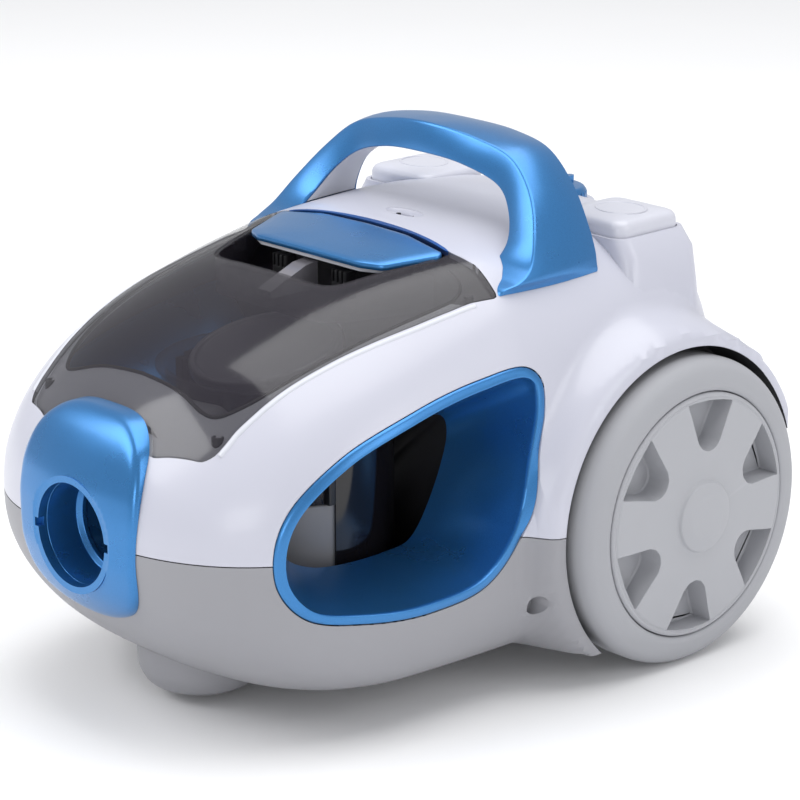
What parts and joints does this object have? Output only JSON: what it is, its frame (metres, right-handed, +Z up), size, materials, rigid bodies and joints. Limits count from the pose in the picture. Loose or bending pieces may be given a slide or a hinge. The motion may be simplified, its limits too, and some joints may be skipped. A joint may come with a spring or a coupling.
{
  "type": "canister vacuum cleaner",
  "caption": "Bagless canister vacuum cleaner with a smoked lift-out dust container, carry handle, side scoops, two large rear wheels and a front caster.",
  "frame": {"origin": "on the floor under the middle of the body, half way between the nose and the tail", "axes": "+Z up, -Y towards the hose port, +X to the right side of the cleaner seen from behind"},
  "size_m": [0.311, 0.372, 0.271],
  "materials": {
    "white_gloss": "gloss",
    "grey_matte": "satin",
    "blue_metallic": "satin metallic",
    "smoke_clear": "gloss tinted clear plastic",
    "black_plastic": "satin",
    "black_rubber": "matte",
    "light_grey": "satin",
    "wheel_grey": "matte",
    "tyre_grey": "matte",
    "steel": "satin",
    "foam": "matte",
    "board_green": "satin",
    "motor_metal": "satin",
    "pearl_white": "gloss"
  },
  "bodies": {
    "chassis": {"lower_base": "grey_matte", "upper_body": "white_gloss", "window_frame_right": "blue_metallic", "window_frame_left": "blue_metallic", "hose_bezel": "blue_metallic", "inlet_duct": "black_plastic", "inlet_seal": "black_rubber", "carry_handle": "blue_metallic", "handle_underside": "pearl_white", "bulkhead": "grey_matte", "motor_filter": "foam", "motor_mount_front": "black_rubber", "motor_mount_rear": "black_rubber", "motor_housing": "motor_metal", "exhaust_filter": "foam", "reel_bracket": "steel", "brake_lever_pin": "steel", "cord_grommet": "black_rubber", "control_board": "board_green", "power_switch": "black_plastic", "power_pedal_spring": "steel", "rewind_pedal_spring": "steel", "wheel_axle_right": "steel", "axle_clip_right": "steel", "wheel_axle_left": "steel", "axle_clip_left": "steel", "base_screw_1": "steel", "base_screw_2": "steel", "base_screw_3": "steel", "base_screw_4": "steel"},
    "dust_container": {"lid_canopy": "smoke_clear", "canopy_seal": "black_rubber", "latch_tray": "black_plastic", "latch_pin": "steel", "bin_cup": "smoke_clear", "bin_floor": "light_grey", "bin_throat": "light_grey", "cyclone_shroud": "black_plastic", "cyclone_cap": "black_plastic"},
    "latch": {"latch_flap": "blue_metallic"},
    "power_button": {"power_pedal": "pearl_white"},
    "rewind_button": {"rewind_pedal": "pearl_white"},
    "brake_lever": {"reel_brake_lever": "black_plastic"},
    "dial": {"power_dial": "blue_metallic"},
    "wheel_right": {"wheel_tyre_right": "tyre_grey", "wheel_hub_right": "wheel_grey"},
    "wheel_left": {"wheel_tyre_left": "tyre_grey", "wheel_hub_left": "wheel_grey"},
    "caster": {"caster_cup": "grey_matte", "caster_axle": "steel"},
    "caster_roller": {"caster_wheel": "black_plastic"},
    "impeller": {"motor_impeller": "motor_metal", "motor_shaft": "steel"},
    "reel": {"reel_drum": "black_plastic"},
    "grille": {"exhaust_grille": "grey_matte"}
  },
  "joints": [
    {"name": "wheel_right_spin", "type": "hinge", "parent": "chassis", "child": "wheel_right", "pos_m": [0.13, 0.104, 0.0813], "axis": [1, 0, 0], "continuous": true},
    {"name": "wheel_left_spin", "type": "hinge", "parent": "chassis", "child": "wheel_left", "pos_m": [-0.13, 0.104, 0.0813], "axis": [1, 0, 0], "continuous": true},
    {"name": "caster_swivel", "type": "hinge", "parent": "chassis", "child": "caster", "pos_m": [0, -0.104, 0.02], "axis": [0, 0, 1], "continuous": true},
    {"name": "caster_roll", "type": "hinge", "parent": "caster", "child": "caster_roller", "pos_m": [0, -0.094, 0.0075], "axis": [1, 0, 0], "continuous": true},
    {"name": "power_press", "type": "slide", "parent": "chassis", "child": "power_button", "axis": [0, 0, -1], "range_m": [0, 0.004], "stiffness_N_per_m": 800, "springref_m": -0.004, "deforming": ["power_pedal_spring"]},
    {"name": "rewind_press", "type": "slide", "parent": "chassis", "child": "rewind_button", "axis": [0, 0, -1], "range_m": [0, 0.005], "stiffness_N_per_m": 800, "springref_m": -0.004, "deforming": ["rewind_pedal_spring"]},
    {"name": "brake_lever_swing", "type": "hinge", "parent": "chassis", "child": "brake_lever", "pos_m": [0.05, 0.162, 0.158], "axis": [1, 0, 0], "range_deg": [-5.5, 0]},
    {"name": "dial_turn", "type": "hinge", "parent": "chassis", "child": "dial", "pos_m": [0, 0.146, 0.22], "axis": [0, 0, 1], "range_deg": [-135, 135]},
    {"name": "container_lift", "type": "slide", "parent": "chassis", "child": "dust_container", "axis": [0, 0, 1], "range_m": [0, 0.19]},
    {"name": "latch_open", "type": "hinge", "parent": "dust_container", "child": "latch", "pos_m": [0, 0.005, 0.217], "axis": [1, 0, 0], "range_deg": [-30, 0]},
    {"name": "grille_pull", "type": "slide", "parent": "chassis", "child": "grille", "axis": [0, 1, 0], "range_m": [0, 0.03]},
    {"name": "impeller_spin", "type": "hinge", "parent": "chassis", "child": "impeller", "pos_m": [-0.034, 0.058, 0.1], "axis": [0, 1, 0], "continuous": true},
    {"name": "reel_spin", "type": "hinge", "parent": "chassis", "child": "reel", "pos_m": [0.05, 0.098, 0.1], "axis": [1, 0, 0], "continuous": true}
  ],
  "couplings": [
    {"joint": "brake_lever_swing", "follows": "rewind_press", "rad_per_m": -17.4}
  ]
}
